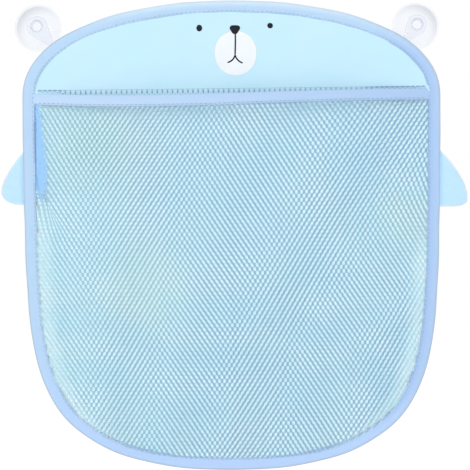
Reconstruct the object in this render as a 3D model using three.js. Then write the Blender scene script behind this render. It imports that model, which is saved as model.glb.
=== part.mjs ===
// Bath toy organizer: a flat net bag with a cloth header and a net pocket in front, hung on a wall
// by two suction cups. Millimetres. +X runs right as seen from the room, +Y into the wall, +Z up.
// The origin is on the wall, on the bag's middle line, level with the centre of the left cup.
import * as THREE from 'three';
import { mergeVertices } from 'three/addons/utils/BufferGeometryUtils.js';

// Outline of the bag, to the outer edge of its binding. Above and below its widest level it is a
// superellipse, whose shares of the width and of the height, raised to the two exponents, make one.
const bodyHalfWidth = 174;
const archHeight = 81;
const lowerHeight = 310;
const sideTaper = 9.8;
const archExponents = { across: 2.09, along: 2.25 };
const lowerExponents = { across: 2.26, along: 7.29 };
const outlineSteps = 96;
const lengthSamples = 2400;

// Layers of the bag, and the wire hoop that keeps its outline
const clearance = 0.3;
const clothThickness = 0.6;
const netThickness = 0.6;
const tapeThickness = 0.8;
const bindingWidth = 10;
const rimWireDiameter = 1.5;
const rimWireSides = 6;
const foldSegments = 4;

// Header, which ends in a seam over the top edge of the back net
const headerHeight = 73.3;
const seamAllowance = 8;

// Pocket: its net stands out most at the belly and is drawn in to the binding all round
const mouthDrop = 1.5;
const mouthSag = 4;
const mouthDepth = 16;
const bellyGain = 16;
const bellyExponent = 4;
const sagExponent = 2;
const bandWidth = 10;
const bandSteps = 40;
const bandFoldSegments = 3;

// Net cells: hexagons in staggered rows
const cellWidth = 30;
const rowPitch = 23.5;
const barWidth = 3;
const netMargin = 3;
const leastCellShare = 0.12;
const shortestEdge = 0.3;
const flatness = netThickness / 2;
const evenness = THREE.MathUtils.degToRad(0.01);

// Paws: two plies of cloth, sewn to the sides. They are cut and turned by hand, so the right one
// came out longer, with a sharper corner.
const pawDrop = 125.6;
const leftPawHeight = 44;
const leftPawReach = 18.4;
const leftPawCorner = 9;
const rightPawHeight = 47;
const rightPawReach = 23.1;
const rightPawCorner = 4.5;
const pawShoulderShares = { reach: 0.75, drop: 0.33 };
const pawCurveSteps = 8;
const pawEdgeSteps = 5;

// Suction cups
const cupDiameter = 40;
const cupRimWidth = 1;
const cupLipThickness = 1;
const cupDomeHeight = 8.5;
const cupHollowDepth = 6;
const cupShoulderRadius = 7;
const cupBendShare = 0.7;
const bossRadius = 5.5;
const bossHeight = 1;
const neckRadius = 3.4;
const headRadius = 5.4;
const headHeight = 4.2;
const headEdge = 1.2;
const dimpleRadius = 3.3;
const dimpleDepth = 0.9;
const cupSegments = 28;
const cupCurveSteps = 4;

// Tabs: clear teardrops that hold the cups, sewn to the back of the binding. Each stands square to
// the bag's edge, and the right one is sewn in deeper, where the edge is a little steeper.
const leftTabAngle = THREE.MathUtils.degToRad(52);
const leftTabLength = 19.4;
const rightTabAngle = THREE.MathUtils.degToRad(54.7);
const rightTabLength = 15.4;
const tabThickness = 1.2;
const tabRadius = 8.8;
const tabNeckWidth = 4.8;
const tabTail = 8;
const tabSegments = 20;

// Places that follow from the sizes
const innerLayer = clearance / 2;
const layerThickness = Math.max(clothThickness, netThickness);
const wireRadius = rimWireDiameter / 2;
const slotHalf = Math.max(innerLayer + layerThickness, wireRadius) + clearance;
const bindingHalf = slotHalf + tapeThickness;
const panelInset = bindingHalf + wireRadius + clearance;
const seamLevel = archHeight - headerHeight;
const mouthLevel = seamLevel - mouthDrop;
const bandSlotHalf = netThickness / 2 + clearance;
const bandHalf = bandSlotHalf + tapeThickness;
const pocketPlane = innerLayer - clearance - bandHalf;
const pocketInset = bindingWidth + clearance;
const bossFace = cupDomeHeight + bossHeight;
const tabFace = bossFace + clearance + tabThickness;
const headFace = tabFace + clearance;
const bagStandoff = headFace + bindingHalf;

const colours = {
  header: 0xcff2fe,
  tape: 0xbbdcf9,
  net: 0xb4d8e9,
  paw: 0xcaeafc,
  vinyl: 0xf4f8fd,
  steel: 0xb9bdc2,
};

function softMaterial(color) {
  return new THREE.MeshStandardMaterial({ color, roughness: 0.9, metalness: 0 });
}

function vinylMaterial() {
  return new THREE.MeshStandardMaterial({
    color: colours.vinyl, roughness: 0.12, metalness: 0, transparent: true, opacity: 0.35,
  });
}

function steelMaterial() {
  return new THREE.MeshStandardMaterial({ color: colours.steel, roughness: 0.35, metalness: 1 });
}

function namedMesh(name, geometry, material) {
  const mesh = new THREE.Mesh(geometry, material);
  mesh.name = name;
  return mesh;
}

// The outline as a closed curve, clockwise from the top as seen from the room. Within a quarter the
// share runs from 0 at the widest level to 1 at the top or the bottom.
class BagOutline extends THREE.Curve {
  getPoint(t, target = new THREE.Vector2()) {
    const quarterTurns = Math.min(t, 1) * 4;
    const quarter = Math.min(Math.floor(quarterTurns), 3);
    const within = quarterTurns - quarter;
    const share = quarter % 2 === 0 ? 1 - within : within;
    const above = quarter === 0 || quarter === 3;
    const { across, along } = above ? archExponents : lowerExponents;
    const angle = (Math.PI / 2) * share ** (along / 2);
    const rise = Math.sin(angle) ** (2 / along);
    const taper = above ? 0 : sideTaper * rise * rise;
    const width = (bodyHalfWidth - taper) * Math.max(Math.cos(angle), 0) ** (2 / across);
    const height = above ? archHeight : -lowerHeight;
    return target.set(quarter < 2 ? width : -width, height * rise);
  }
}

// Points evenly spaced round the outline, each with its outward normal.
function outlineStations() {
  const outline = new BagOutline();
  outline.arcLengthDivisions = lengthSamples;
  const points = outline.getSpacedPoints(outlineSteps).slice(0, outlineSteps);
  return points.map((point, i) => {
    const before = points[(i + outlineSteps - 1) % outlineSteps];
    const after = points[(i + 1) % outlineSteps];
    const heading = after.clone().sub(before).normalize();
    return { point, normal: new THREE.Vector2(-heading.y, heading.x) };
  });
}

const stations = outlineStations();

function insetOutline(inset) {
  return stations.map(({ point, normal }) => point.clone().addScaledVector(normal, -inset));
}

// Keeps the side of a polygon where the signed distance is positive.
function trimmed(points, distance) {
  return points.flatMap((point, i) => {
    const next = points[(i + 1) % points.length];
    const here = distance(point);
    const there = distance(next);
    const kept = here >= 0 ? [point] : [];
    return here * there < 0 ? [...kept, point.clone().lerp(next, here / (here - there))] : kept;
  });
}

function partBelow(points, level) {
  return trimmed(points, (point) => level - point.y);
}

function partAbove(points, level) {
  return trimmed(points, (point) => point.y - level);
}

// Half the width of the inset outline at a level.
function insetHalfWidth(inset, level) {
  const right = insetOutline(inset).slice(0, outlineSteps / 2 + 1);
  const after = Math.max(right.findIndex((point) => point.y <= level), 1);
  const [upper, lower] = [right[after - 1], right[after]];
  const share = THREE.MathUtils.clamp((upper.y - level) / (upper.y - lower.y), 0, 1);
  return THREE.MathUtils.lerp(upper.x, lower.x, share);
}

// A flat sheet upright in the bag's plane, from one depth to another behind the middle plane.
function sheetGeometry(shape, front, thickness, curveSegments = 1) {
  const options = { depth: thickness, bevelEnabled: false, curveSegments };
  const sheet = new THREE.ExtrudeGeometry(shape, options).rotateX(Math.PI / 2);
  return sheet.translate(0, front + thickness, 0);
}

// A section of [inset, depth] corners carried once round the outline.
function ringGeometry(section) {
  const positions = stations.flatMap(({ point, normal }) => section.flatMap(([inset, depth]) => [
    point.x - normal.x * inset, depth, point.y - normal.y * inset,
  ]));
  const corners = section.length;
  const indices = stations.flatMap((station, i) => section.flatMap((corner, j) => {
    const here = i * corners;
    const next = ((i + 1) % outlineSteps) * corners;
    const side = (j + 1) % corners;
    return [here + j, next + j, next + side, here + j, next + side, here + side];
  }));
  const geometry = new THREE.BufferGeometry();
  geometry.setAttribute('position', new THREE.Float32BufferAttribute(positions, 3));
  geometry.setIndex(indices);
  geometry.computeVertexNormals();
  return geometry;
}

function arcCorners(radius, centreInset, from, to, segments) {
  return Array.from({ length: segments + 1 }, (unused, k) => {
    const angle = THREE.MathUtils.lerp(from, to, k / segments);
    return [centreInset - radius * Math.cos(angle), radius * Math.sin(angle)];
  });
}

// Binding: a tape folded round the wire and over both faces of the panels.
function bindingGeometry() {
  const quarter = Math.PI / 2;
  return ringGeometry([
    ...arcCorners(bindingHalf, bindingHalf, -quarter, quarter, foldSegments),
    [bindingWidth, bindingHalf],
    [bindingWidth, slotHalf],
    ...arcCorners(slotHalf, bindingHalf, quarter, -quarter, foldSegments),
    [bindingWidth, -slotHalf],
    [bindingWidth, -bindingHalf],
  ]);
}

function rimWireGeometry() {
  const turn = 2 * Math.PI;
  const corners = arcCorners(wireRadius, bindingHalf, 0, turn, rimWireSides);
  return ringGeometry(corners.slice(0, rimWireSides));
}

// Hexagonal cells in staggered rows, each cut off at the edges of a convex region.
function netCells(region) {
  const open = 1 - barWidth / cellWidth;
  const half = (cellWidth / 2) * open;
  const third = (rowPitch / 3) * open;
  const corners = [[1, 1], [0, 2], [-1, 1], [-1, -1], [0, -2], [1, -1]];
  const hexagon = corners.map(([across, up]) => new THREE.Vector2(across * half, up * third));
  const leastArea = leastCellShare * Math.abs(THREE.ShapeUtils.area(hexagon));
  const columns = Math.ceil(bodyHalfWidth / cellWidth);
  const rows = Math.ceil((archHeight + lowerHeight) / rowPitch);
  const cells = [];
  for (let row = 0; row <= rows; row += 1) {
    for (let column = -columns; column <= columns; column += 1) {
      const shift = row % 2 === 0 ? 0 : cellWidth / 2;
      const centre = new THREE.Vector2(column * cellWidth + shift, mouthLevel - bandWidth - row * rowPitch);
      const cell = region.reduce((points, edgeStart, i) => {
        const edge = region[(i + 1) % region.length].clone().sub(edgeStart).normalize();
        return trimmed(points, (point) => -edge.cross(point.clone().sub(edgeStart)));
      }, hexagon.map((corner) => corner.clone().add(centre)));
      const following = (i) => cell[(i + 1) % cell.length];
      const distinct = cell.filter((point, i) => point.distanceTo(following(i)) > shortestEdge);
      if (Math.abs(THREE.ShapeUtils.area(distinct)) > leastArea) cells.push(distinct);
    }
  }
  return cells;
}

// Turns edges within the two faces of a flat sheet, wherever the angles across from an edge add up
// to over half a turn, until the triangles are as even as they can be, so that the sheet bends well.
function evened(geometry) {
  const sheet = mergeVertices(geometry.deleteAttribute('normal').deleteAttribute('uv'));
  const position = sheet.getAttribute('position');
  const place = (corner) => new THREE.Vector3().fromBufferAttribute(position, corner);
  const angleAt = (corner, a, b) => place(a).sub(place(corner)).angleTo(place(b).sub(place(corner)));
  const index = sheet.getIndex().array;
  const cornersOf = (unused, k) => [...index.slice(3 * k, 3 * k + 3)];
  const faces = Array.from({ length: index.length / 3 }, cornersOf);
  let turned = true;
  while (turned) {
    turned = false;
    const edgesOf = (face) => face.map((corner, k) => [`${corner} ${face[(k + 1) % 3]}`, face]);
    const owners = new Map(faces.flatMap(edgesOf));
    const changed = new Set();
    for (const [edge, face] of owners) {
      const [a, b] = edge.split(' ').map(Number);
      const other = owners.get(`${b} ${a}`);
      const c = face.find((corner) => corner !== a && corner !== b);
      const d = other.find((corner) => corner !== a && corner !== b);
      const level = (corner) => Math.abs(position.getY(corner) - position.getY(a)) < flatness;
      const flat = [b, c, d].every(level);
      if (!flat || changed.has(face) || changed.has(other)) continue;
      if (angleAt(c, a, b) + angleAt(d, a, b) < Math.PI + evenness) continue;
      face.splice(0, 3, a, d, c);
      other.splice(0, 3, d, b, c);
      changed.add(face).add(other);
      turned = true;
    }
  }
  sheet.setIndex(faces.flat());
  return sheet;
}

// How full the pocket is at a place: all in the middle of its width, and nothing at the binding.
function fullness(x, z) {
  const aside = Math.min(Math.abs(x) / insetHalfWidth(bindingWidth, z), 1);
  return 1 - aside * aside;
}

function shareDown(z) {
  return THREE.MathUtils.clamp((mouthLevel - z) / (mouthLevel + lowerHeight - pocketInset), 0, 1);
}

// The mouth sags between its ends, and the sag dies away down the pocket.
function sagAt(x, z) {
  return fullness(x, z) * mouthSag * (1 - shareDown(z)) ** sagExponent;
}

// The pocket stands out from the bag, and its depth fades to the sides and the bottom.
function depthAt(x, z) {
  const down = shareDown(z);
  return fullness(x, z) * (1 - down ** bellyExponent) * (mouthDepth + bellyGain * down);
}

function sagged(point) {
  return new THREE.Vector2(point.x, point.y - sagAt(point.x, point.y));
}

// Moves every point of a flat sheet or tape to where the hanging pocket has it.
function hung(geometry, sag) {
  const position = geometry.getAttribute('position');
  for (let i = 0; i < position.count; i += 1) {
    const x = position.getX(i);
    const level = position.getZ(i) - sag(x, position.getZ(i));
    position.setXYZ(i, x, position.getY(i) - depthAt(x, level), level);
  }
  geometry.computeVertexNormals();
  return geometry;
}

function pocketNetGeometry() {
  const top = mouthLevel - bandHalf + bandSlotHalf - clearance;
  const sides = partBelow(insetOutline(pocketInset), top);
  const [right, left] = [sides[0], sides[sides.length - 1]];
  const mouthPoint = (unused, k) => left.clone().lerp(right, (k + 1) / bandSteps);
  const mouth = Array.from({ length: bandSteps - 1 }, mouthPoint);
  const shape = new THREE.Shape([...sides, ...mouth].map(sagged));
  const region = partBelow(insetOutline(pocketInset + netMargin), mouthLevel - bandWidth);
  shape.holes = netCells(region).map((cell) => new THREE.Path(cell.map(sagged)));
  return hung(evened(sheetGeometry(shape, pocketPlane - netThickness / 2, netThickness)), () => 0);
}

// Mouth band: a tape folded down over the top edge of the pocket net.
function mouthBandGeometry() {
  const bottom = mouthLevel - bandWidth;
  const fold = mouthLevel - bandHalf;
  const section = new THREE.Shape();
  section.moveTo(bandHalf, bottom);
  section.absarc(0, fold, bandHalf, 0, Math.PI, false);
  section.lineTo(-bandHalf, bottom);
  section.lineTo(-bandSlotHalf, bottom);
  section.absarc(0, fold, bandSlotHalf, Math.PI, 0, true);
  section.lineTo(bandSlotHalf, bottom);
  const halfLength = Math.min(insetHalfWidth(pocketInset, mouthLevel), insetHalfWidth(pocketInset, bottom));
  const options = {
    depth: 2 * halfLength, steps: bandSteps, bevelEnabled: false, curveSegments: bandFoldSegments,
  };
  const tape = new THREE.ExtrudeGeometry(section, options).rotateX(Math.PI / 2).rotateZ(Math.PI / 2);
  return hung(tape.translate(-halfLength, pocketPlane, 0), sagAt);
}

function backNetGeometry() {
  const outer = partBelow(insetOutline(panelInset), seamLevel + seamAllowance - clearance);
  const region = partBelow(insetOutline(bindingWidth + netMargin), seamLevel - netMargin);
  const shape = new THREE.Shape(outer);
  shape.holes = netCells(region).map((cell) => new THREE.Path(cell));
  return sheetGeometry(shape, innerLayer, netThickness);
}

function headerFrontGeometry() {
  const shape = new THREE.Shape(partAbove(insetOutline(panelInset), seamLevel));
  return sheetGeometry(shape, -innerLayer - clothThickness, clothThickness);
}

function headerLiningGeometry() {
  const shape = new THREE.Shape(partAbove(insetOutline(panelInset), seamLevel + seamAllowance));
  return sheetGeometry(shape, innerLayer, clothThickness);
}

// Paw: a rounded fin whose inner edge follows the side of the bag. The side is 1 or -1.
function pawShape(side, height, reach, corner) {
  const top = archHeight - pawDrop;
  const bottom = top - height;
  const edgeAt = (level) => insetHalfWidth(-clearance, level);
  const tip = edgeAt(top) + reach;
  const fin = new THREE.Path();
  fin.moveTo(edgeAt(top), top);
  fin.quadraticCurveTo(
    edgeAt(top) + reach * pawShoulderShares.reach, top - height * pawShoulderShares.drop,
    tip, bottom + corner,
  );
  fin.quadraticCurveTo(tip, bottom, tip - corner, bottom);
  const edge = Array.from({ length: pawEdgeSteps }, (unused, k) => {
    const level = THREE.MathUtils.lerp(bottom, top, k / pawEdgeSteps);
    return new THREE.Vector2(edgeAt(level), level);
  });
  const points = [...fin.getPoints(pawCurveSteps), ...edge];
  return new THREE.Shape(points.map((point) => new THREE.Vector2(side * point.x, point.y)));
}

// Suction cup, with its rim on the wall and its axis along -Y. The tab sits in the groove between
// the boss and the head.
function cupGeometry() {
  const radius = cupDiameter / 2;
  const headFront = headFace + headHeight;
  const hollowRadius = radius - cupRimWidth;
  const profile = new THREE.Path();
  profile.moveTo(0, dimpleDepth - headFront);
  profile.quadraticCurveTo(dimpleRadius, dimpleDepth - headFront, dimpleRadius, -headFront);
  profile.lineTo(headRadius - headEdge, -headFront);
  profile.quadraticCurveTo(headRadius, -headFront, headRadius, headEdge - headFront);
  profile.lineTo(headRadius, -headFace);
  profile.lineTo(neckRadius, -headFace);
  profile.lineTo(neckRadius, -bossFace);
  profile.lineTo(bossRadius, -bossFace);
  profile.lineTo(bossRadius, -cupDomeHeight);
  profile.lineTo(cupShoulderRadius, -cupDomeHeight);
  profile.quadraticCurveTo(radius * cupBendShare, -cupDomeHeight, radius, -cupLipThickness);
  profile.lineTo(radius, 0);
  profile.lineTo(hollowRadius, 0);
  profile.quadraticCurveTo(hollowRadius * cupBendShare, -cupHollowDepth, 0, -cupHollowDepth);
  return new THREE.LatheGeometry(profile.getPoints(cupCurveSteps), cupSegments);
}

// Tab: a teardrop round the cup's neck, which narrows to a tail. The tail points down.
function tabGeometry(length) {
  const half = tabNeckWidth / 2;
  const reach = Math.hypot(half, length);
  const touch = Math.atan2(half, length) + Math.acos(tabRadius / reach) - Math.PI / 2;
  const shape = new THREE.Shape();
  shape.moveTo(half, -length - tabTail);
  shape.lineTo(half, -length);
  shape.absarc(0, 0, tabRadius, touch, Math.PI - touch, false);
  shape.lineTo(-half, -length);
  shape.lineTo(-half, -length - tabTail);
  const eyelet = new THREE.Path();
  eyelet.absarc(0, 0, neckRadius + clearance, 0, 2 * Math.PI, false);
  shape.holes.push(eyelet);
  return sheetGeometry(shape, -tabFace, tabThickness, tabSegments);
}

// Centre of a cup in the right half of the bag's own frame: out from the outline, where its normal
// has the tab's angle, by the length of the tab.
function cupCentre(angle, length) {
  const right = stations.slice(0, outlineSteps / 2);
  const after = right.findIndex(({ normal }) => normal.angle() < angle || normal.angle() > Math.PI);
  const [upper, lower] = [right[after - 1], right[after]];
  const share = (upper.normal.angle() - angle) / (upper.normal.angle() - lower.normal.angle());
  const seam = upper.point.clone().lerp(lower.point, share);
  return seam.add(new THREE.Vector2(Math.cos(angle), Math.sin(angle)).multiplyScalar(length));
}

const leftCup = cupCentre(leftTabAngle, leftTabLength);
const rightCup = cupCentre(rightTabAngle, rightTabLength);
const leftPaw = pawShape(-1, leftPawHeight, leftPawReach, leftPawCorner);
const rightPaw = pawShape(1, rightPawHeight, rightPawReach, rightPawCorner);

const bag = new THREE.Group();
bag.position.set(0, -bagStandoff, -leftCup.y);
bag.add(
  namedMesh('back_net', backNetGeometry(), softMaterial(colours.net)),
  namedMesh('pocket_net', pocketNetGeometry(), softMaterial(colours.net)),
  namedMesh('mouth_band', mouthBandGeometry(), softMaterial(colours.tape)),
  namedMesh('header_front', headerFrontGeometry(), softMaterial(colours.header)),
  namedMesh('header_lining', headerLiningGeometry(), softMaterial(colours.header)),
  namedMesh('edge_binding', bindingGeometry(), softMaterial(colours.tape)),
  namedMesh('rim_wire', rimWireGeometry(), steelMaterial()),
);

const organizer = new THREE.Group();
organizer.add(bag);

for (const [name, paw] of [['left', leftPaw], ['right', rightPaw]]) {
  const front = sheetGeometry(paw, -innerLayer - clothThickness, clothThickness);
  const back = sheetGeometry(paw, innerLayer, clothThickness);
  bag.add(
    namedMesh(`${name}_paw_front`, front, softMaterial(colours.paw)),
    namedMesh(`${name}_paw_back`, back, softMaterial(colours.paw)),
  );
}

// A tab and its cup, on the side that is 1 or -1.
function hangerGroup(name, side, cup, tabAngle, tabLength) {
  const hanger = new THREE.Group();
  hanger.position.set(side * cup.x, 0, cup.y - leftCup.y);
  const tab = namedMesh(`${name}_tab`, tabGeometry(tabLength), vinylMaterial());
  tab.rotation.y = side * (Math.PI / 2 - tabAngle);
  hanger.add(tab, namedMesh(`${name}_cup`, cupGeometry(), vinylMaterial()));
  return hanger;
}

organizer.add(
  hangerGroup('left', -1, leftCup, leftTabAngle, leftTabLength),
  hangerGroup('right', 1, rightCup, rightTabAngle, rightTabLength),
);

export default organizer;
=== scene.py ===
import math

import bpy
import numpy as np
from mathutils import Matrix, Vector


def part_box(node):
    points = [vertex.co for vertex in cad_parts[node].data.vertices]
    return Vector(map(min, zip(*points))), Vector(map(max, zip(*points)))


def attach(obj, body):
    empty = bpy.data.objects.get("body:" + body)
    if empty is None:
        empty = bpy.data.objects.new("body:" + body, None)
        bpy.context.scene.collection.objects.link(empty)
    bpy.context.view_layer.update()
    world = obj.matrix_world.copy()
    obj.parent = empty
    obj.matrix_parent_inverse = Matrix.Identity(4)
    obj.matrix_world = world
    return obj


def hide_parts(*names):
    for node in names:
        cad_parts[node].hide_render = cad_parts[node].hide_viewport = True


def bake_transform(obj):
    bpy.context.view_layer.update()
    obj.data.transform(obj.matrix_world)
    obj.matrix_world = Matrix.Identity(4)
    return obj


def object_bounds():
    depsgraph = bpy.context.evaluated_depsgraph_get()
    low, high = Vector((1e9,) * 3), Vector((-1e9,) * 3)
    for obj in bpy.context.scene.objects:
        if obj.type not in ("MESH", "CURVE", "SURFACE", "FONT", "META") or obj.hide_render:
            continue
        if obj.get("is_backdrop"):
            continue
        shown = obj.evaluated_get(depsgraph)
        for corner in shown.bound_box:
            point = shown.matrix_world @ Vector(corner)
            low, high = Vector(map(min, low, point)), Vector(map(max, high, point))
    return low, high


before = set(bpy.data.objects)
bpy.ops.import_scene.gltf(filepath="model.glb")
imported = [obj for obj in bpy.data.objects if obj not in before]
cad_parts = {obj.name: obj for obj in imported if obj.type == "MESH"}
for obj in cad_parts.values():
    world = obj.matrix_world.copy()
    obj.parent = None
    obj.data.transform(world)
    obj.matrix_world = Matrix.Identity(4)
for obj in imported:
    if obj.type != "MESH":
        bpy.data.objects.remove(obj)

cad_low, cad_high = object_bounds()

# Camera. It stands square in front of the bag, far enough back for the bag to look flat, and is
# turned a little, so that the bag's right side stands higher in the picture than its left.
view_distance = 1.35
view_width = 0.3914
view_centre = Vector((0.0024, -0.01315, -0.17466))
view_roll = math.radians(0.3)

camera = bpy.data.objects.new("camera", bpy.data.cameras.new("camera"))
bpy.context.scene.collection.objects.link(camera)
bpy.context.scene.camera = camera
bpy.context.scene.view_settings.view_transform = "Standard"
camera.data.lens = camera.data.sensor_width * view_distance / view_width
camera.location = view_centre - Vector((0, view_distance, 0))
camera.matrix_world = (
    Matrix.Translation(camera.location)
    @ Matrix.Rotation(view_roll, 4, "Y")
    @ Matrix.Rotation(math.radians(90), 4, "X")
)

# Studio. Broad soft lamps from the upper left and the right, and a weaker, cooler one behind the
# bag, in a plain pale room. The camera, gloss and clear parts see the room as white, and don't see
# the lamps themselves.
room_colour = (0.97, 0.985, 1, 1)
room_strength = 0.8
lamps = {
    # place, size, power and colour
    "key_lamp": ((-0.9, -1.7, 0.7), 1.2, 15.0, (1, 1, 1)),
    "fill_lamp": ((1.2, -1.5, -0.1), 1.0, 7.5, (1, 1, 1)),
    "back_lamp": ((0.3, 1.6, 0.6), 1.6, 5.0, (0.9, 0.96, 1)),
}


def set_inputs(tree, node, inputs):
    """Gives each named input a plain value or another node's output."""
    for name, value in inputs.items():
        if isinstance(value, bpy.types.NodeSocket):
            tree.links.new(value, node.inputs[name])
        else:
            node.inputs[name].default_value = value


def add_node(tree, kind, inputs, **settings):
    """A new shader node with its settings and its inputs."""
    node = tree.nodes.new("ShaderNode" + kind)
    for name, value in settings.items():
        setattr(node, name, value)
    set_inputs(tree, node, inputs)
    return node


def seen_directly(tree):
    """1 wherever the room is looked at: the larger of the camera, gloss and transmission rays."""
    path = add_node(tree, "LightPath", {})
    ray = path.outputs["Is Camera Ray"]
    for other in ("Is Glossy Ray", "Is Transmission Ray"):
        larger = add_node(tree, "Math", {0: ray, 1: path.outputs[other]}, operation="MAXIMUM")
        ray = larger.outputs[0]
    return ray


world = bpy.data.worlds.new("room")
world.use_nodes = True
bpy.context.scene.world = world
tree = world.node_tree
room_light = tree.nodes["Background"]
set_inputs(tree, room_light, {"Color": room_colour, "Strength": room_strength})
white_room = add_node(tree, "Background", {"Color": (1, 1, 1, 1)})
mixed = add_node(tree, "MixShader", {
    "Fac": seen_directly(tree), 1: room_light.outputs[0], 2: white_room.outputs[0],
})
set_inputs(tree, tree.nodes["World Output"], {"Surface": mixed.outputs[0]})

for name, (place, size, power, colour) in lamps.items():
    lamp = bpy.data.lights.new(name, "AREA")
    lamp.size = size
    lamp.energy = power
    lamp.color = colour
    holder = bpy.data.objects.new(name, lamp)
    bpy.context.scene.collection.objects.link(holder)
    holder.location = place
    holder.rotation_euler = (view_centre - holder.location).to_track_quat("-Z", "Y").to_euler()
    holder.visible_camera = False
    holder.visible_transmission = False

# Floor. A plain pale floor a little way under the bag, which hangs on the wall. It shows mostly
# white where it is looked at, and keeps some of the bag's shadow.
floor_drop = 0.06
floor_reach = 3.0
floor_white_share = 0.85
floor_colour = (0.95, 0.95, 0.95, 1)
floor_glow = 1.09


def new_material(name):
    """A new material, its node tree and its shader."""
    material = bpy.data.materials.new(name)
    material.use_nodes = True
    return material, material.node_tree, material.node_tree.nodes["Principled BSDF"]


bpy.context.view_layer.update()
floor_mesh = bpy.data.meshes.new("floor")
floor_corners = [(-1, -1), (1, -1), (1, 1), (-1, 1)]
floor_mesh.from_pydata(
    [(floor_reach * x, floor_reach * y, cad_low.z - floor_drop) for x, y in floor_corners],
    [], [(0, 1, 2, 3)],
)
floor = bpy.data.objects.new("floor", floor_mesh)
bpy.context.scene.collection.objects.link(floor)
floor_paint, tree, paint = new_material("floor")
set_inputs(tree, paint, {"Base Color": floor_colour, "Roughness": 0.9})
white = add_node(tree, "Emission", {"Strength": floor_glow})
white_part = add_node(
    tree, "Math", {0: seen_directly(tree), 1: floor_white_share}, operation="MULTIPLY",
)
mixed = add_node(tree, "MixShader", {
    "Fac": white_part.outputs[0], 1: paint.outputs[0], 2: white.outputs[0],
})
set_inputs(tree, tree.nodes["Material Output"], {"Surface": mixed.outputs[0]})
floor.data.materials.append(floor_paint)
floor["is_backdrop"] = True

# Edge binding. A tape of woven polyester, cut on the bias and folded round the wire hoop and the
# edges of the nets and the header. One row of stitches near its inner edge holds all of them.
binding_low, binding_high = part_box("edge_binding")
middle_y = (binding_low.y + binding_high.y) / 2
half_width = binding_high.x
arch_height = 0.081
widest_z = binding_high.z - arch_height
lower_height = widest_z - binding_low.z
side_taper = 0.0098
arch_powers = (2.09, 2.25)
lower_powers = (2.26, 7.29)
binding_width = 0.0102
binding_fold_half = 0.00195
binding_nose = 0.0027
binding_edge_share = 0.42
binding_inner_share = 0.55
binding_steps = (14, 6)
tape_thickness = 0.00045
stitch_pitch = 0.0038
stitch_inset = 0.0086
stitch_pull = 0.00028
stitch_pull_width = 0.0009
stitch_pull_shares = (0.62, 0.38)
steps_per_stitch = 5
plump_waves = (
    # height, all of the length round and no other way, length and start
    (0.05, 1, 0, 0.061, 0), (0.04, 1, 0, 0.0237, 1.3),
)
plump_ends = 0.02
lean_depth = 0.00022
lean_counts = (23, 3)
tape_weave = 0.0005
tape_bias = math.radians(45)
tape_grain = ((0.98, 0.99, 1.0), (1.0, 0.97, 0.99))
tape_colour = (0.419, 0.589, 0.765)
# Painted light: lighter and bluer towards the bottom, where the lamps reach the tape less.
tape_low_painted_light_colour = (0.42, 0.575, 0.82)
# Painted highlight: paler along the outer side of the fold at the top of the arch.
tape_top_painted_highlight_colour = (0.525, 0.662, 0.774)
# Painted shade: darker towards the right side of the bag.
tape_right_painted_shade_colour = (0.374, 0.525, 0.748)
# Painted shade: deeper on the inner side of the tape, towards the right.
tape_inner_painted_shade_colour = (0.348, 0.499, 0.74)
# Painted shade: a grey line along the outer edge of the fold, below the top.
tape_edge_painted_shade_colour = (0.396, 0.482, 0.568)
tape_low_run = (0.18, 0.28)
tape_top_run = (0.050, 0.078)
tape_right_run = (0.13, 0.16)
tape_deep_run = (0.10, 0.15)
tape_outer_run = (0.35, 0.8)
tape_inner_run = (0.25, 0.6)
tape_edge_run = (0.80, 1.0)
outline_points = 40000


def outline(count, inset=0.0):
    """Places and outward directions, evenly spaced round the bag's edge, clockwise from the top,
    and the length round. Over and under its widest level the edge is a superellipse: a share of
    the half width to one power plus a share of the height to another make one. Below, the half
    width also shrinks with the square of the share of the height."""
    turn = np.linspace(0, 4, outline_points + 1)[:-1]
    quarter = np.floor(turn).astype(int)
    share = np.where(quarter % 2 == 0, 1 - (turn - quarter), turn - quarter)
    above = (quarter == 0) | (quarter == 3)
    across = np.where(above, arch_powers[0], lower_powers[0])
    along = np.where(above, arch_powers[1], lower_powers[1])
    angle = np.pi / 2 * share ** (along / 2)
    rise = np.sin(angle) ** (2 / along)
    width = half_width - np.where(above, 0, side_taper) * rise**2
    width = width * np.clip(np.cos(angle), 0, 1) ** (2 / across)
    x = np.where(quarter < 2, width, -width)
    z = np.where(above, arch_height, -lower_height) * rise
    step = np.hypot(np.diff(x, append=x[0]), np.diff(z, append=z[0]))
    gone = np.concatenate([[0], np.cumsum(step)])
    even = np.linspace(0, gone[-1], count + 1)[:-1]
    x = np.interp(even, gone, np.append(x, x[0]))
    z = np.interp(even, gone, np.append(z, z[0]))
    heading = np.stack([np.roll(x, -1) - np.roll(x, 1), np.roll(z, -1) - np.roll(z, 1)], 1)
    heading /= np.linalg.norm(heading, axis=1, keepdims=True)
    outward = np.stack([-heading[:, 1], heading[:, 0]], 1)
    return np.stack([x, z], 1) - outward * inset, outward, gone[-1]


def half_width_at(level):
    """Half the bag's width at a height over its widest level, by the outline's own formula."""
    up = np.clip(level / arch_height, 0, 1)
    down = np.clip(-level / lower_height, 0, 1)
    over = half_width * (1 - up ** arch_powers[1]) ** (1 / arch_powers[0])
    under = (1 - down ** lower_powers[1]) ** (1 / lower_powers[0])
    return np.where(level > 0, over, (half_width - side_taper * down**2) * under)


def smooth_step(value, low, high):
    """Rises from 0 at low to 1 at high, as three squares less two cubes of the share between."""
    share = np.clip((value - low) / (high - low), 0, 1)
    return share * share * (3 - 2 * share)


def waves(x, level, rows):
    """Sine waves added up. Each row is a wave's height, the shares of x and of level that it runs
    along, its length, and the angle at which it starts."""
    return sum(
        height * np.sin(math.tau * (along_x * x + along_level * level) / length + start)
        for height, along_x, along_level, length, start in rows
    )


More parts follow.
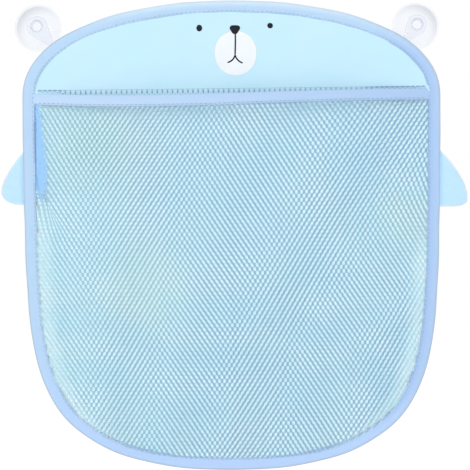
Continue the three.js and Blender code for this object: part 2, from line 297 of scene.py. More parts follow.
def mesh_object(name, points, faces, uv=None):
    """A smooth mesh object at the origin, from its points and its faces, which all have as many
    corners. uv holds a place on the map for each face's corner."""
    mesh = bpy.data.meshes.new(name)
    mesh.from_pydata(points.reshape(-1, 3).tolist(), [], faces.tolist())
    if uv is not None:
        mesh.uv_layers.new(name="map").data.foreach_set("uv", uv.astype(np.float32).ravel())
    mesh.polygons.foreach_set("use_smooth", np.ones(len(mesh.polygons), bool))
    mesh.update()
    made = bpy.data.objects.new(name, mesh)
    bpy.context.scene.collection.objects.link(made)
    return made


def grid_faces(rows, columns, ring_rows=False, ring_columns=False):
    """Each quad's row and column at its corners. A ring's last row or column meets its first."""
    row, column = np.meshgrid(
        np.arange(rows if ring_rows else rows - 1),
        np.arange(columns if ring_columns else columns - 1), indexing="ij",
    )
    corner_rows = np.stack([row, row + 1, row + 1, row], -1).reshape(-1, 4)
    corner_columns = np.stack([column, column, column + 1, column + 1], -1).reshape(-1, 4)
    return corner_rows, corner_columns


def ring_sweep(name, points, along=None, across=None):
    """A closed section carried round a closed path: points holds rings of section points. For a
    piece with a map, along and across are their lengths, one more of each than of points."""
    rows, columns = points.shape[:2]
    corner_rows, corner_columns = grid_faces(rows, columns, True, True)
    faces = (corner_rows % rows) * columns + corner_columns % columns
    uv = None if along is None else np.stack([along[corner_rows], across[corner_columns]], -1)
    return mesh_object(name, points, faces, uv)


def fold_section(half, nose, width, edge_share, steps):
    """Insets and depths over the outside of a folded tape, from its front edge round the fold to
    its back edge. The fold is a quarter ellipse on each side of the middle, then the tape closes
    smoothly from its full half thickness to a share of it at the edges."""
    place = np.linspace(-1, 1, 2 * steps + 1)
    inset = width * place**2
    round_part = np.sqrt(1 - (1 - np.clip(inset / nose, 0, 1)) ** 2)
    closing = 1 - (1 - edge_share) * smooth_step(inset, nose, width)
    return inset, -np.sign(place) * half * round_part * closing


def cloth_material(name, colour, shade, source, *, pitch, size, turn=0.0, roughness=0.85,
                   bump=0.35):
    """Woven cloth. Two crossed waves, one for each way of the thread, make the bump, and broad
    soft noise of a size mixes the colour with its shade. source is Object or UV, in metres."""
    material, tree, shader = new_material(name)
    place = add_node(tree, "TexCoord", {}).outputs[source]
    about = (0, turn, 0) if source == "Object" else (0, 0, turn)
    weave = add_node(tree, "Mapping", {"Vector": place, "Rotation": about}).outputs[0]
    heights = [
        add_node(tree, "TexWave", {
            "Vector": weave, "Scale": math.tau / 20 / pitch, "Distortion": 0.6, "Detail": 1,
        }, bands_direction=way).outputs["Fac"]
        for way in ("X", "Z" if source == "Object" else "Y")
    ]
    both = add_node(tree, "Math", {0: heights[0], 1: heights[1]}, operation="ADD")
    bumped = add_node(tree, "Bump", {
        "Strength": bump, "Distance": pitch / 5, "Height": both.outputs[0],
    })
    noise = add_node(tree, "TexNoise", {"Vector": place, "Scale": 1 / size, "Detail": 3})
    spread = add_node(tree, "MapRange", {
        "Value": noise.outputs["Fac"], "From Min": 0.3, "From Max": 0.7,
    })
    mixed = add_node(tree, "Mix", {
        "A": (*colour, 1), "B": (*shade, 1), "Factor": spread.outputs[0],
    }, data_type="RGBA")
    set_inputs(tree, shader, {
        "Base Color": mixed.outputs["Result"], "Normal": bumped.outputs[0], "Roughness": roughness,
        "Specular IOR Level": 0.25, "Sheen Weight": 0.15, "Sheen Roughness": 0.5,
    })
    return material


def multiply_tone(material):
    """Makes the cloth's colour what it is times the mesh attribute tone."""
    tree = material.node_tree
    base = tree.nodes["Principled BSDF"].inputs["Base Color"]
    tone = add_node(tree, "Attribute", {}, attribute_name="tone")
    product = add_node(tree, "Mix", {
        "A": base.links[0].from_socket, "B": tone.outputs["Color"], "Factor": 1,
    }, data_type="RGBA", blend_type="MULTIPLY")
    tree.links.new(product.outputs["Result"], base)


def give_tone(piece, colour, layers):
    """Stores the piece's colour at each point. Each layer has a share for each point, by which it
    turns the colour so far into its own."""
    tone = np.array(colour)
    for share, over in layers:
        tone = tone + share[..., None] * (np.array(over) - tone)
    tone = np.broadcast_to(tone.reshape(-1, 3), (len(piece.data.vertices), 3))
    store = piece.data.attributes.new("tone", "FLOAT_COLOR", "POINT")
    opaque = np.append(tone, np.ones((len(tone), 1)), 1)
    store.data.foreach_set("color", opaque.astype(np.float32).ravel())


def pulled(distance_in, seam_place, gone):
    """How far the stitches draw the tape in: most on the seam, and less between two stitches."""
    near = np.exp(-(((distance_in - seam_place) / stitch_pull_width) ** 2))
    steady, swing = stitch_pull_shares
    return stitch_pull * near * (steady - swing * np.cos(math.tau * gone / stitch_pitch))


_, _, edge_length = outline(8)
stitch_count = round(edge_length / stitch_pitch)
binding_rings = stitch_count * steps_per_stitch
edge, outward, edge_length = outline(binding_rings)
stitch_pitch = edge_length / stitch_count
gone = np.arange(binding_rings) * edge_length / binding_rings
outer_inset, outer_depth = fold_section(
    binding_fold_half, binding_nose, binding_width, binding_edge_share, binding_steps[0],
)
inner_inset, inner_depth = fold_section(
    binding_fold_half - tape_thickness, binding_nose, binding_width - tape_thickness,
    binding_inner_share, binding_steps[1],
)
inner_inset = inner_inset + tape_thickness
to_end = np.minimum(gone, edge_length - gone)
plump = 1 + waves(gone, 0, plump_waves) * smooth_step(to_end, 0, plump_ends)
round_share = math.tau * gone / edge_length
lean = lean_depth * np.sin(lean_counts[0] * round_share) * np.sin(lean_counts[1] * round_share)
outer = outer_depth[None] * plump[:, None]
outer -= np.sign(outer_depth) * pulled(outer_inset[None], stitch_inset, gone[:, None])
inset = np.concatenate([outer_inset, inner_inset[::-1]])
depth = np.concatenate([outer, np.repeat(inner_depth[None, ::-1], binding_rings, 0)], 1)
flat = edge[:, None] - outward[:, None] * (inset[None] + lean[:, None])[..., None]
binding_points = np.stack([flat[..., 0], middle_y + depth, widest_z + flat[..., 1]], -1)
section = np.stack([inset, depth[0]], 1)
section_step = np.linalg.norm(np.roll(section, -1, 0) - section, axis=1)
edge_binding = ring_sweep(
    "edge_binding_tape", binding_points[:, ::-1],
    np.append(gone, edge_length), np.concatenate([[0], np.cumsum(section_step[::-1])]),
)
tape_cloth = cloth_material(
    "binding_tape", *tape_grain, "UV", pitch=tape_weave, size=0.016, turn=tape_bias,
)
multiply_tone(tape_cloth)
height, across = binding_points[:, ::-1, 2] - widest_z, binding_points[:, ::-1, 0]
out = 1 - np.clip(inset[::-1] / binding_width, 0, 1)[None]
give_tone(edge_binding, tape_colour, (
    # painted light, lighter and bluer towards the bottom
    (smooth_step(-height, *tape_low_run), tape_low_painted_light_colour),
    # painted highlight on the outer fold at the top
    (smooth_step(height, *tape_top_run) * smooth_step(out, *tape_outer_run), tape_top_painted_highlight_colour),
    # painted shade, darker towards the right
    (smooth_step(across, *tape_right_run), tape_right_painted_shade_colour),
    # painted shade on the tape's inner side, towards the right
    (smooth_step(across, *tape_deep_run) * (1 - smooth_step(out, *tape_inner_run)),
     tape_inner_painted_shade_colour),
    # painted shade along the outer edge
    (smooth_step(out, *tape_edge_run) * (1 - smooth_step(height, *tape_top_run)),
     tape_edge_painted_shade_colour),
))
edge_binding.data.materials.append(tape_cloth)
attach(edge_binding, "bag")
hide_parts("edge_binding")

# Binding stitches. A lockstitch of polyester thread, a little deeper in colour than the tape,
# that shows on both faces of the binding near its inner edge.
thread_colour = (0.206, 0.361, 0.568)
thread_shade = (0.190, 0.340, 0.545)
thread_radius = 0.00028
stitch_share = 0.66


def closed_rings(rings, sides):
    """Triangles over rings of points, closed at both ends by a fan round a pole. The two poles
    come after the rings' points."""
    rows, columns = grid_faces(rings, sides, False, True)
    quads = rows * sides + columns % sides
    side = np.arange(sides)
    after, pole, last = (side + 1) % sides, rings * sides, (rings - 1) * sides
    start = np.stack([np.full(sides, pole), side, after], 1)
    end = np.stack([np.full(sides, pole + 1), last + after, last + side], 1)
    return np.concatenate([quads[:, [0, 1, 2]], quads[:, [0, 2, 3]], start, end])[:, ::-1]


def stitch_row(name, centres, heads, length, radius, flatness=1):
    """Stitches as one mesh. Each is an ellipsoid of thread, half a stitch's length along the seam
    and a thread's radius across it, and flatness is its depth's share of that: its rings are a
    sine of the angle wide and a cosine along. length and radius may be one for each stitch."""
    rings, sides = 4, 6
    angle = np.linspace(0, np.pi, rings + 2)[1:-1]
    turn = np.arange(sides) * math.tau / sides
    heads = heads / np.linalg.norm(heads, axis=1, keepdims=True)
    depth_way = np.array([0, 1, 0])
    sideways = np.cross(heads, depth_way)
    rim = np.cos(turn)[:, None] * sideways[:, None] + flatness * np.sin(turn)[:, None] * depth_way
    rim = rim * np.broadcast_to(radius, len(centres))[:, None, None]
    reach = heads * np.broadcast_to(length, len(centres))[:, None] / 2
    body = centres[:, None, None] + np.sin(angle)[:, None, None] * rim[:, None]
    body = body - np.cos(angle)[:, None, None] * reach[:, None, None]
    tips = centres[:, None] + np.array([-1, 1])[:, None] * reach[:, None]
    points = np.concatenate([body.reshape(len(centres), -1, 3), tips], 1)
    first = np.arange(len(centres))[:, None, None] * points.shape[1]
    return mesh_object(name, points, (closed_rings(rings, sides) + first).reshape(-1, 3))


def thread_material(name, colour, shade):
    """Sewing thread, with the cloth's waves turned slantwise for its twist."""
    return cloth_material(name, colour, shade, "Object", pitch=0.0003, size=0.004, turn=0.6)


thread = thread_material("thread", thread_colour, thread_shade)
stitch_edge, stitch_outward, _ = outline(stitch_count, stitch_inset)
seam_half = binding_fold_half * (
    1 - (1 - binding_edge_share) * smooth_step(stitch_inset, binding_nose, binding_width)
) - stitch_pull * 0.5
heading = np.stack([stitch_outward[:, 1], np.zeros(stitch_count), -stitch_outward[:, 0]], 1)
both_faces = [
    np.stack([stitch_edge[:, 0], np.full(stitch_count, middle_y + side * seam_half),
              widest_z + stitch_edge[:, 1]], 1)
    for side in (-1, 1)
]
binding_stitches = stitch_row(
    "binding_stitches", np.concatenate(both_faces), np.tile(heading, (2, 1)),
    stitch_pitch * stitch_share, thread_radius,
)
binding_stitches.data.materials.append(thread)
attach(binding_stitches, "bag")

# Rim wire. A hoop of spring steel inside the fold of the binding, which holds the bag open. It is
# hidden all round, so the frame's own solid stays, with a finish of drawn steel.
wire_colour = (0.5, 0.52, 0.55, 1)
steel, tree, shader = new_material("spring_wire")
place = add_node(tree, "TexCoord", {}).outputs["Object"]
noise = add_node(tree, "TexNoise", {"Vector": place, "Scale": 900})
spread = add_node(tree, "MapRange", {
    "Value": noise.outputs["Fac"], "To Min": 0.25, "To Max": 0.45,
})
set_inputs(tree, shader, {
    "Metallic": 1, "Base Color": wire_colour, "Roughness": spread.outputs[0],
})
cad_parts["rim_wire"].data.materials.clear()
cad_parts["rim_wire"].data.materials.append(steel)

# Header. Two plies of close-woven polyester fill the arch. The front ply is turned under at its
# lower edge and sewn over the top of the back net, and the lining covers the net from behind.
seam_level = 0.0075
seam_tilt = 0.0063
hem_drop = 0.0062
header_tuck = 0.0055
header_cloth_half = 0.00014
header_front_gap = 0.00042
lining_gap = 0.00095
header_grid = (241, 73)
header_end_share = 0.996
header_least_rise = 0.0006
header_crown = 0.0016
header_inset = 0.008
header_swell_powers = (0.45, 0.7)
header_swell_least = 0.004
header_waves = (
    # height, shares of x and of level, length and start
    (0.00045, 1, 0.5, 0.118, 0.7), (0.0003, 0.35, -1, 0.047, 2.1), (0.00016, 1, -1.2, 0.031, 0),
)
lining_swell_share = 0.35
hem_height = 0.008
hem_step = 0.001
hem_swell = 0.00025
header_colour = (0.464, 0.697, 0.808)
header_shade = (0.499, 0.705, 0.808)
header_weave = 0.00036


def slab(name, x, y, z, half):
    """A closed sheet with walls round its edge: it is even in thickness, half on each side of a
    grid of places."""
    rows, columns = x.shape
    corner_rows, corner_columns = grid_faces(rows, columns)
    faces = corner_rows * columns + corner_columns
    index = np.arange(rows * columns).reshape(rows, columns)
    rim = np.concatenate([index[0, :-1], index[:-1, -1], index[-1, :0:-1], index[:0:-1, 0]])
    after = np.roll(rim, -1)
    size = rows * columns
    walls = np.stack([rim, after, after + size, rim + size], 1)
    points = np.stack([np.stack([x, y + side * half, z], -1) for side in (-1, 1)])
    faces = np.concatenate([faces, (faces + size)[:, ::-1], walls[:, ::-1]])
    return mesh_object(name, points, faces)


def header_swell(x, level):
    """How far the front ply stands out: a low crown in the middle of the arch, long soft waves
    made by the pull of the binding, and the hem's second layer near the seam."""
    beside = np.abs(x / (half_width - header_inset)) ** arch_powers[0]
    top_power, swell_power = header_swell_powers
    top = (arch_height - header_inset) * np.clip(1 - beside, 0, 1) ** top_power
    foot = seam_level - hem_drop + seam_tilt * x
    up = np.clip((level - foot) / np.maximum(top - foot, header_swell_least), 0, 1)
    inside = np.sin(np.pi * up) ** swell_power
    crown = header_crown * inside * (1 - (x / half_width) ** 2)
    hem = hem_swell * (1 - smooth_step(level - foot, hem_height - hem_step, hem_height))
    return crown + waves(x, level, header_waves) * inside + hem * (1 - up)


header_reach = float(half_width_at(np.float64(seam_level))) - header_tuck
share = np.linspace(-1, 1, header_grid[0])[:, None]
header_x = header_end_share * header_reach * np.sin(np.pi / 2 * share)
arch_share = 1 - np.abs(header_x / (half_width - header_tuck)) ** arch_powers[0]
header_top = (arch_height - header_tuck) * np.clip(arch_share, 0, 1) ** (1 / arch_powers[1])
header_rise = np.linspace(0, 1, header_grid[1])[None]
header_fabric = cloth_material(
    "header_cloth", header_colour, header_shade, "Object", pitch=header_weave, size=0.05,
    roughness=0.9, bump=0.3,
)
header_foot = seam_level - hem_drop + seam_tilt * header_x
header_level = header_foot + np.maximum(header_top - header_foot, header_least_rise) * header_rise
header_x = np.repeat(header_x, header_rise.size, 1)
swell = header_swell(header_x, header_level)
front_y = middle_y - header_front_gap - swell
lining_y = middle_y + lining_gap + lining_swell_share * (swell - hem_swell)
for name, node, y in (
    ("header_cloth", "header_front", front_y), ("header_back_cloth", "header_lining", lining_y),
):
    piece = slab(name, header_x, y, widest_z + header_level, header_cloth_half)
    piece.data.materials.append(header_fabric)
    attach(piece, "bag")
    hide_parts(node)

# Header seam. Two staggered rows of upright stitches in a greyer thread, and a running one over
# them, hold the header's hem to the back net. Towards the ends the upright ones grow short, and
# the running one is thicker. The upright rows stand at the net's pitch, and their greyer thread is
# partly painted shade: they also stand in for the shade in the net's holes along the seam.
seam_stitch_pitch = 0.00425
seam_stitch_length = 0.0034
seam_rows = (0.0019, 0.0052)
seam_end_gap = 0.006
seam_left_end = (0.132, 0.150)
seam_right_end = (0.105, 0.125)
seam_end_share = 0.25
# Partly painted shade: the greyer thread also stands in for the shade in the net's holes.
seam_thread_and_shade_colour = (0.258, 0.396, 0.516)
seam_thread_shade = (0.240, 0.374, 0.492)
seam_thread_radius = 0.00075
seam_thread_flat = 0.35
running_length = 0.0044
running_radius = 0.00022
running_end_radius = 0.00078
seam_count = round(2 * (header_reach - seam_end_gap) / seam_stitch_pitch)
seam_x = (np.arange(seam_count) - (seam_count - 1) / 2) * seam_stitch_pitch
seam_end = np.maximum(smooth_step(seam_x, *seam_right_end), smooth_step(-seam_x, *seam_left_end))
seam_short = 1 - (1 - seam_end_share) * seam_end


def header_face(x, level):
    """The depth at which the front face of the header's front ply lies."""
    return middle_y - header_front_gap - header_swell(x, level) - header_cloth_half


def on_header(x, drop):
    """Places on the header's front face, a drop below the line of its seam."""
    level = seam_level + seam_tilt * x - drop
    return np.stack([x, header_face(x, level), widest_z + level], 1)


seam_centres = np.concatenate([
    on_header(seam_x + seam_stitch_pitch / 2 * row, drop * seam_short)
    for row, drop in enumerate(seam_rows)
])
header_stitches = stitch_row(
    "header_stitches", seam_centres, np.tile([[0.0, 0, 1.0]], (len(seam_centres), 1)),
    seam_stitch_length * np.tile(seam_short, 2), seam_thread_radius, seam_thread_flat,
)
running_radii = running_radius + (running_end_radius - running_radius) * seam_end
running_stitches = stitch_row(
    "header_running_stitches", on_header(seam_x, 0),
    np.tile([[1.0, 0, seam_tilt]], (seam_count, 1)),
    running_length, running_radii, seam_thread_flat,
)
seam_thread = thread_material("seam_thread", seam_thread_and_shade_colour, seam_thread_shade)
for row in (header_stitches, running_stitches):
    row.data.materials.append(seam_thread)
    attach(row, "bag")

# Printed face. A plain animal face in two colours of ink on the header: a white muzzle, and two
# eyes, a nose and a mouth in black.
ink_lift = 0.00008
ink_half = 0.00002
eye_places = ((-0.0264, 0.0578), (0.0325, 0.0596))
eye_sizes = ((0.0024, 0.0028), (0.0023, 0.0023))
muzzle_place = (0.0036, 0.0369)
muzzle_size = (0.0177, 0.0187)
nose_place = (0.0032, 0.0567)
nose_size = (0.0041, 0.0038)
nose_bulge = 0.13
lip_line = ((0.0035, 0.0540), (0.0037, 0.0450), (0.0032, 0.0351))
lip_left = ((0.0032, 0.0353), (0.0020, 0.0303), (-0.0032, 0.0290))
lip_right = ((0.0032, 0.0353), (0.0046, 0.0303), (0.0096, 0.0285))
lip_half = 0.00062
muzzle_ink = ((0.735, 0.765, 0.79), (0.715, 0.75, 0.775))
feature_ink = ((0.012, 0.014, 0.018), (0.016, 0.018, 0.022))


def disc(place, size, count=17, bulge=0.0):
    """A grid over a round spot. A square's two ways are each drawn in by the root of one less half
    the other's square, which fills a circle. bulge pushes it out below and to both sides above, by
    a cosine of three times the angle round."""
    side = np.linspace(-1, 1, count)
    u, v = np.meshgrid(side, side, indexing="ij")
    x, z = u * np.sqrt(1 - v * v / 2), v * np.sqrt(1 - u * u / 2)
    reach = 1 + bulge * np.cos(3 * (np.arctan2(z, x) + np.pi / 2))
    return np.stack([place[0] + size[0] * x * reach, place[1] + size[1] * z * reach], -1)


def gone_along(path):
    """How far along a path each of its points lies."""
    return np.concatenate([[0], np.cumsum(np.linalg.norm(np.diff(path, axis=0), axis=1))])


def pen_line(ends, half, count=33):
    """A line of ink along a quadratic curve through three control points, with round ends: its
    half width is the root of one less the square of how far it runs into an end."""
    t = np.linspace(0, 1, count)[:, None]
    a, b, c = (np.array(end) for end in ends)
    path = (1 - t) ** 2 * a + 2 * t * (1 - t) * b + t * t * c
    heading = np.gradient(path, axis=0)
    heading /= np.linalg.norm(heading, axis=1, keepdims=True)
    sideways = np.stack([-heading[:, 1], heading[:, 0]], 1)
    gone = gone_along(path)
    to_end = np.minimum(gone, gone[-1] - gone)
    width = half * np.sqrt(np.clip(1 - (1 - np.clip(to_end / half, 0, 1)) ** 2, 0.02, 1))
    across = np.linspace(-1, 1, 7)
    return path[:, None] + sideways[:, None] * (width[:, None] * across)[..., None]


def ink(name, spots, colours, lift):
    """Thin films that lie on the header's front ply, as one mesh. Each spot is a grid of places."""
    films = []
    for spot in spots:
        x, level = spot[..., 0], spot[..., 1]
        y = header_face(x, level) - lift
        films.append(slab(name, x, y, widest_z + level, ink_half))
    bpy.context.view_layer.objects.active = films[0]
    for film in films:
        film.select_set(True)
    if len(films) > 1:
        bpy.ops.object.join()
    films[0].select_set(False)
    material = cloth_material(
        name, *colours, "Object", pitch=header_weave, size=0.01, roughness=0.6, bump=0.12,
    )
    tree = material.node_tree
    set_inputs(tree, tree.nodes["Principled BSDF"], {"Specular IOR Level": 0.1, "Sheen Weight": 0})
    films[0].data.materials.append(material)
    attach(films[0], "bag")


bpy.ops.object.select_all(action="DESELECT")
ink("muzzle_print", [disc(muzzle_place, muzzle_size, count=41)], muzzle_ink, ink_lift)
ink("features_print", [
    *(disc(place, size) for place, size in zip(eye_places, eye_sizes)),
    disc(nose_place, nose_size, count=25, bulge=nose_bulge),
    pen_line(lip_line, lip_half), pen_line(lip_left, lip_half), pen_line(lip_right, lip_half),
], feature_ink, 2 * ink_lift)

# Nets. Polyester yarn, warp-knitted into hexagonal cells. The back net closes the bag behind the
# pocket and is sewn into the binding all round, with its top edge under the header's hem.
net_pitch = 0.00425
net_row_pitch = 0.00333
net_unit = np.array([net_pitch / 2, net_row_pitch / 3])
net_half = 0.00028
sharp_under = 0.0006
net_inset = 0.0065
edge_marks = 720
seam_tuck = 0.0045
back_gap = 0.00045
back_sway = ((0.0011, 0, 1, 0.19, 0.8),)
back_sway_width = 0.4
back_droop = ((0.0009, 1, 0, 0.23, 0),)
back_slack = ((0.0009, 0, 1, 0.13, 0),)
back_bars = (0.0039, 0.0030)
back_net_turn = math.radians(-2.0)
# Painted light: the back net's yarn is the pocket net's, painted paler for the light that comes
# through it from behind.
back_net_painted_light_colour = (0.68, 0.875, 0.96)
back_net_painted_light_shade = (0.645, 0.855, 0.95)


def even_holes(flat):
    """Every hole upright and of its full size."""
    return np.zeros(len(flat)), np.ones(len(flat))


def hexagon_net(name, centres, place, bars, hole_form=even_holes):
    """A knitted net as one closed mesh. Its cells are hexagons in staggered rows, whose centres
    are counted in half pitches and thirds of a row. Each bar has a ridge in front and one behind,
    on the line that two cells share, and slopes from both down to the edge of the hole. place
    turns flat places and depths into points, bars are the widths of the upright and the slanted
    ones, and hole_form is how far each hole leans sideways for its height, and its size's share.
    The rims of small holes are sharp edges, so that no shade gathers in them."""
    upright_bar, slanted_bar = bars
    steps = np.array([[0, 2], [-1, 1], [-1, -1], [0, -2], [1, -1], [1, 1]])
    corners = centres[:, None] + steps
    keys, index = np.unique(corners.reshape(-1, 2), axis=0, return_inverse=True)
    index = index.reshape(-1, 6)
    side = (net_pitch - upright_bar) / 2
    slope = np.array([net_row_pitch / 3, net_pitch / 2])
    slope /= np.linalg.norm(slope)
    peak = 2 * net_row_pitch / 3 - slanted_bar / 2 / slope[1]
    shoulder = peak - side * slope[0] / slope[1]
    hole = np.array([[0, peak], [-side, shoulder], [-side, -shoulder],
                     [0, -peak], [side, -shoulder], [side, shoulder]])
    ridge, middles = keys * net_unit, centres * net_unit
    lean, share = hole_form(middles)
    hole = np.repeat(hole[None], len(middles), 0)
    hole[..., 0] += lean[:, None] * hole[..., 1]
    rims = (middles[:, None] + hole * share[:, None, None]).reshape(-1, 2)
    points = np.concatenate([place(ridge, -net_half), place(ridge, net_half), place(rims, 0.0)])
    count = len(keys)
    rim_index = 2 * count + np.arange(len(rims)).reshape(-1, 6)
    next_ridge, next_rim = np.roll(index, -1, 1), np.roll(rim_index, -1, 1)
    front = np.stack([index, next_ridge, next_rim, rim_index], -1).reshape(-1, 4)
    back = np.stack([rim_index, next_rim, next_ridge + count, index + count], -1).reshape(-1, 4)
    pairs = np.stack([index, next_ridge], -1).reshape(-1, 2)
    order = np.sort(pairs, 1)
    _, first, times = np.unique(order, axis=0, return_index=True, return_counts=True)
    free = pairs[first[times == 1]]
    walls = np.stack([free[:, 1], free[:, 0], free[:, 0] + count, free[:, 1] + count], 1)
    wall_points = points[walls.ravel()]
    walls = len(points) + np.arange(walls.size).reshape(-1, 4)
    faces = np.concatenate([front, back, walls])
    made = mesh_object(name, np.concatenate([points, wall_points]), faces)
    ends = np.zeros(2 * len(made.data.edges), np.int32)
    made.data.edges.foreach_get("vertices", ends)
    cell = (ends.reshape(-1, 2) - 2 * count) // 6
    on_rim = ((cell >= 0) & (cell < len(middles))).all(1)
    small = side * share[np.clip(cell[:, 0], 0, len(middles) - 1)] < sharp_under
    sharp = made.data.attributes.new("sharp_edge", "BOOLEAN", "EDGE")
    sharp.data.foreach_set("value", on_rim & small)
    return made


def net_centres(low_level, high_level):
    """Centres of the cells of a net that covers the bag, in half pitches and thirds of a row."""
    columns = math.ceil(2 * half_width / net_pitch)
    top = math.floor(high_level / net_row_pitch)
    bottom = math.ceil(low_level / net_row_pitch)
    column, row = np.meshgrid(np.arange(-columns, columns + 1), np.arange(bottom, top + 1))
    return np.stack([2 * column + row % 2, 3 * row], -1).reshape(-1, 2)


def inside_outline(places, inset):
    """Whether places lie inside the bag's outline by an inset, measured to the nearest of many
    points of the edge along its outward direction."""
    points, directions, _ = outline(edge_marks)
    away = places[:, None] - points[None]
    nearest = np.argmin((away**2).sum(-1), 1)
    return (away[np.arange(len(places)), nearest] * directions[nearest]).sum(-1) < -inset


def hung_cells(centres, place):
    """Where the middles of a net's cells hang, across and by level, and whether each of them lies
    inside the binding."""
    hung = place(centres * net_unit, 0.0)
    x, level = hung[:, 0], hung[:, 2] - widest_z
    return x, level, inside_outline(np.stack([x, level], 1), net_inset)


def turned(flat, turn):
    """Flat places across and by level, turned about the origin by the angle's cosine and sine."""
    x = flat[:, 0] * math.cos(turn) - flat[:, 1] * math.sin(turn)
    return x, flat[:, 0] * math.sin(turn) + flat[:, 1] * math.cos(turn)


def back_net_place(flat, depth):
    """The back net hangs flat, turned by its cut against the header. Slow sine waves sway it to
    the sides, droop it and let it a little slack."""
    x, level = turned(flat, back_net_turn)
    x = x + waves(x, level, back_sway) * np.cos(math.pi * x / back_sway_width)
    level = level + waves(x, level, back_droop)
    inward = np.cos(math.pi * np.clip(x / half_width, -1, 1) / 2)
    y = middle_y + back_gap + waves(x, level, back_slack) * inward + depth
    return np.stack([x, y, widest_z + level], 1)


def yarn_material(name, colour, shade):
    """Knitted yarn, which lets a little light through: the cloth's waves for the filaments' bump,
    and broad noise for the tone."""
    material = cloth_material(
        name, colour, shade, "Object", pitch=0.00025, size=0.035, turn=0.5, roughness=0.6, bump=0.25,
    )
    tree = material.node_tree
    set_inputs(tree, tree.nodes["Principled BSDF"], {
        "Subsurface Weight": 0.7, "Subsurface Radius": (1, 1, 1), "Subsurface Scale": 0.0008,
    })
    return material


centres = net_centres(-lower_height, seam_level + seam_tuck)
_, level, kept = hung_cells(centres, back_net_place)
kept &= level < seam_level + seam_tuck
back_net = hexagon_net("back_net_knit", centres[kept], back_net_place, back_bars)
# The back net's yarn is painted paler than the pocket net's: painted light.
back_net.data.materials.append(
    yarn_material("back_net_yarn", back_net_painted_light_colour, back_net_painted_light_shade)
)
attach(back_net, "bag")
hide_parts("back_net")

# Pocket net. The same net in front, cut fuller, so that it stands out and sags at its mouth. It
# is sewn into the binding at its sides and its bottom, and its two halves here are one cloth: in
# each, the net moves with the bag at the side and with the pocket in the middle.
front_bars = (0.0020, 0.0007)
hole_lean = 0.55
lean_place = (-0.0726, -0.0436)
lean_width = 0.200
lean_least_share = 0.56
lean_narrowing = 0.55
lean_slant = 0.12
front_net_turn = math.radians(0.4)
front_draw = (0.985, 0.99)
front_sway = ((0.0022, 0, 1, 0.31, 0.4),)
front_spare = 0.02
corner_place = (0.150, -0.030)
corner_radius = 0.050
corner_pull = (0.010, 0.012)
front_grain = ((1.0, 1.0, 1.0), (0.93, 0.955, 0.99))
# Painted shade: the pocket net's yarn is the back net's, painted deeper.
front_net_painted_shade_colour = (0.30, 0.482, 0.605)
front_left_colour = (0.34, 0.54, 0.63)
front_edge_colour = (0.52, 0.69, 0.74)
front_corner_colour = (0.27, 0.455, 0.60)
pleat_colour = (0.31, 0.54, 0.90)
front_left_run = (0.0, 0.15)
front_edge_run = (0.004, 0.018)
front_painted_light_patches = (
    # place, radius and colour of a patch of painted light, where the cells of the two
    # nets fall in step and more light shows through
    ((-0.0726, -0.1560), 0.034, (0.40, 0.565, 0.575)),
    ((0.1440, -0.1020), 0.030, (0.35, 0.52, 0.57)),
    ((-0.1142, -0.0395), 0.034, (0.335, 0.475, 0.50)),
)
mouth_level = 0.0056
mouth_tilt = 0.0084
mouth_sag = 0.0031
mouth_lean = 0.7
mouth_depth = 0.016
mouth_tuck = 0.003
mouth_ripples = ((0.0008, 1, 0.3, 0.083, 0),)
mouth_ripple_fade = 0.25
belly_gain = 0.016
pocket_gap = 0.0006
pocket_creases = (
    # level, width and depth of a crease
    (-0.119, 0.006, 0.0011), (-0.202, 0.007, 0.0009),
)
pocket_bottom = lower_height - 0.0103
band_width = 0.0096
pleat_widths = (0.0042, 0.0092)
pleat_grows = (0.0, 0.065)
pleat_fades = (0.065, 0.130)
fold_fades = (0.064, 0.094)
fold_press = 0.85
pleat_opening = 0.020
pleat_start = 0.008
pleat_layer = 0.0007
# Where the net runs on, runs back and comes out of the pleat, and where the fold ends, in pleat
# widths from the net's edge.
pleat_on = (0.1, 0.9)
pleat_back = (0.85, 2.15)
pleat_out = (2.6, 5.0)
fold_end = (0.8, 1.2)


def share_down(level):
    """The share of the pocket's height that lies above a level."""
    return np.clip((mouth_level - level) / (mouth_level + pocket_bottom), 0, 1)


def fullness(x, level):
    """All in the middle of the pocket's width and nothing at the binding: one less the square of
    the share of the half width."""
    inner = np.maximum(half_width_at(level) - 0.010, 0.02)
    return 1 - np.clip(np.abs(x) / inner, 0, 1) ** 2


def pocket_depth(x, level):
    """How far the pocket stands out: a straight gain from its mouth down, faded near the bottom by
    one less the fourth power of the share down, with two soft creases where it lay folded."""
    down = share_down(level)
    whole = (1 - down**4) * (mouth_depth + belly_gain * down)
    creases = sum(
        depth * np.exp(-(((level - at) / width) ** 2)) for at, width, depth in pocket_creases
    )
    ripples = waves(x, level, mouth_ripples) * np.exp(-down / mouth_ripple_fade)
    return fullness(x, level) * (whole + creases + ripples)


def mouth_drop(x, level):
    """How far the mouth sags: by its fullness, more to the left of the middle than to the right,
    and from end to end by a slope. All of it dies away down the pocket."""
    lean = 1 - mouth_lean * np.sin(math.pi / 2 * np.clip(x / half_width, -1, 1))
    sag = fullness(x, level) * mouth_sag * lean - mouth_tilt * x
    return sag * (1 - share_down(level)) ** 2


def mouth_line(x):
    """The level of the pocket's mouth across the bag."""
    return mouth_level - mouth_drop(x, np.full_like(x, mouth_level))


def soft_spot(x, level, place, radius):
    """A round spot, 1 at its place and e to the power of less the square of the share of its
    radius elsewhere."""
    return np.exp(-((x - place[0]) ** 2 + (level - place[1]) ** 2) / radius**2)


def pleat_width(level):
    """The pleat's width, which grows from the mouth down."""
    return pleat_widths[0] + (pleat_widths[1] - pleat_widths[0]) * smooth_step(-level, *pleat_grows)


